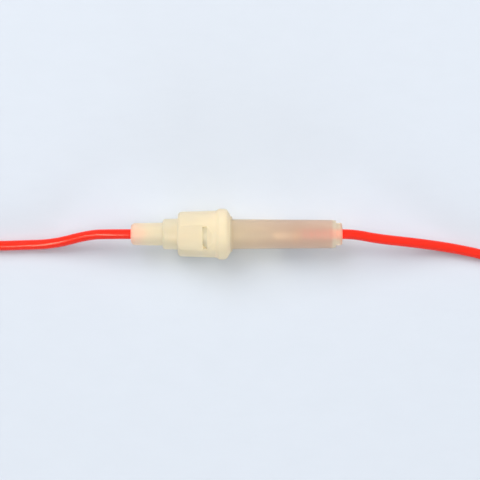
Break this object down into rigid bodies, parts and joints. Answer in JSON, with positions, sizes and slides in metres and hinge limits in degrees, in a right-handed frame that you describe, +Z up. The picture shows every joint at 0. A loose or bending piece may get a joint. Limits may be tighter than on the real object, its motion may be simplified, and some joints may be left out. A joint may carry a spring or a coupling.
{
  "type": "inline fuse holder",
  "caption": "Translucent twist-lock inline holder with red wire leads, holding a glass cartridge fuse between a fixed contact and a sprung one.",
  "frame": {"origin": "on the holder's axis, half way between the cap's nose and the tube's end boss", "axes": "+X along the axis from the cap's nose to the tube's end, +Z up with the holder lying on its rim, one flat and window turned 11.5 degrees from +Z towards -Y"},
  "size_m": [0.266, 0.0209, 0.0158],
  "materials": {
    "nylon": "translucent natural nylon, satin moulded surface",
    "glass": "clear glass",
    "nickel": "nickel plated brass",
    "zinc": "dull zinc strip",
    "solder": "bright solder",
    "brass": "drawn brass sheet",
    "tinned_copper": "stranded copper, tinned",
    "spring_steel": "plated spring wire",
    "red_insulation": "smooth soft red insulation"
  },
  "bodies": {
    "tube": {"tube_shell": "nylon", "spring": "spring_steel", "fuse_glass": "glass", "fuse_ferrule_left": "nickel", "fuse_ferrule_right": "nickel", "fuse_element": "zinc", "fuse_solder_left": "solder", "fuse_solder_right": "solder"},
    "left_lead": {"contact_left": "brass", "contact_solder_left": "solder", "conductor_left": "tinned_copper", "lead_left": "red_insulation", "bare_end_left": "tinned_copper"},
    "cap": {"cap_shell": "nylon"},
    "plunger": {"contact_right": "brass", "contact_solder_right": "solder", "conductor_right": "tinned_copper", "lead_right": "red_insulation", "bare_end_right": "tinned_copper"}
  },
  "joints": [
    {"name": "cap_travel", "type": "slide", "parent": "tube", "child": "left_lead", "axis": [-1, 0, 0], "range_m": [0, 0.0168]},
    {"name": "cap_twist", "type": "hinge", "parent": "left_lead", "child": "cap", "pos_m": [0, 0, 0], "axis": [-1, 0, 0], "range_deg": [0, 378]},
    {"name": "contact_travel", "type": "slide", "parent": "tube", "child": "plunger", "axis": [1, 0, 0], "range_m": [0, 0.0012], "stiffness_N_per_m": 600, "springref_m": -0.008, "deforming": ["spring"]}
  ],
  "couplings": [
    {"joint": "cap_travel", "follows": "cap_twist", "m_per_rad": 0.0025464}
  ]
}
